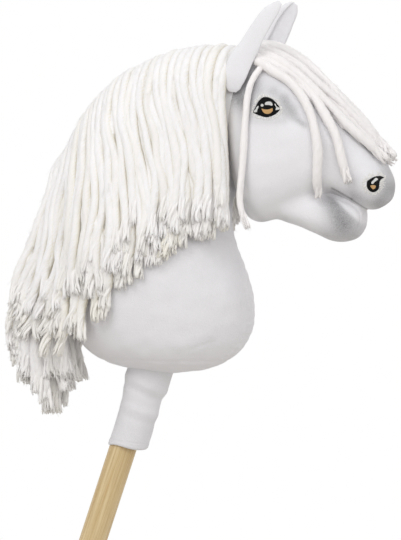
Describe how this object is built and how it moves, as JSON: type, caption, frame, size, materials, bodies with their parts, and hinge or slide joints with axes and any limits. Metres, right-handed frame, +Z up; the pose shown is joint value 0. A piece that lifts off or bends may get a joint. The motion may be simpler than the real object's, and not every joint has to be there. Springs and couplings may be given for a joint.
{
  "type": "hobby horse",
  "caption": "White plush horse head with a cream yarn mane and forelock, on a round wooden stick.",
  "frame": {"origin": "centre of the stick's lower end face", "axes": "+Z up as the toy is carried, +X the way the horse faces, +Y the horse's left side; the stick leans 18.4 degrees forward from +Z towards +X"},
  "size_m": [0.4381, 0.1465, 0.9253],
  "materials": {
    "wood": "sanded pine, matt varnish",
    "plush": "short white pile with airbrushed grey shading",
    "lining": "smooth white fabric",
    "filling": "polyester wadding",
    "yarn": "soft twisted cream yarn with frayed ends",
    "tape": "woven cream tape",
    "black_thread": "satin stitch, slightly glossy",
    "amber_thread": "satin stitch",
    "white_thread": "satin stitch"
  },
  "bodies": {
    "stick": {"stick": "wood"},
    "head": {"stick_pocket": "lining", "sleeve": "plush", "sleeve_hem": "plush", "neck_filling": "filling", "head_filling": "filling", "jaw_filling": "filling", "neck_right_panel": "plush", "head_right_panel": "plush", "jaw_right_panel": "plush", "ear_right_outer": "plush", "ear_right_lining": "lining", "eye_right": "black_thread", "iris_right": "amber_thread", "eye_glint_right": "white_thread", "nostril_right": "black_thread", "neck_left_panel": "plush", "head_left_panel": "plush", "jaw_left_panel": "plush", "ear_left_outer": "plush", "ear_left_lining": "lining", "eye_left": "black_thread", "iris_left": "amber_thread", "eye_glint_left": "white_thread", "nostril_left": "black_thread", "throat_gusset": "plush", "neck_base_panel": "plush", "face_gusset": "plush", "chin_gusset": "plush", "upper_mouth_lining": "lining", "lower_mouth_lining": "lining", "mane_tape": "tape", "mane_under_1": "yarn", "mane_under_2": "yarn", "mane_under_3": "yarn", "mane_under_4": "yarn", "mane_under_5": "yarn", "mane_under_6": "yarn", "mane_top_1": "yarn", "mane_top_2": "yarn", "mane_top_3": "yarn", "mane_top_4": "yarn", "mane_top_5": "yarn", "mane_top_6": "yarn", "mane_far_1": "yarn", "mane_far_2": "yarn", "mane_far_3": "yarn", "mane_far_4": "yarn", "mane_rear_1": "yarn", "mane_rear_2": "yarn", "mane_rear_3": "yarn", "forelock_ridge": "yarn", "forelock_right_1": "yarn", "forelock_right_2": "yarn", "forelock_right_3": "yarn", "forelock_left_1": "yarn", "forelock_left_2": "yarn", "forelock_left_3": "yarn", "cheek_strand": "yarn"}
  },
  "joints": [
    {"name": "head_lift", "type": "slide", "parent": "stick", "child": "head", "axis": [0.3156, 0, 0.9489], "range_m": [0, 0.24]}
  ]
}
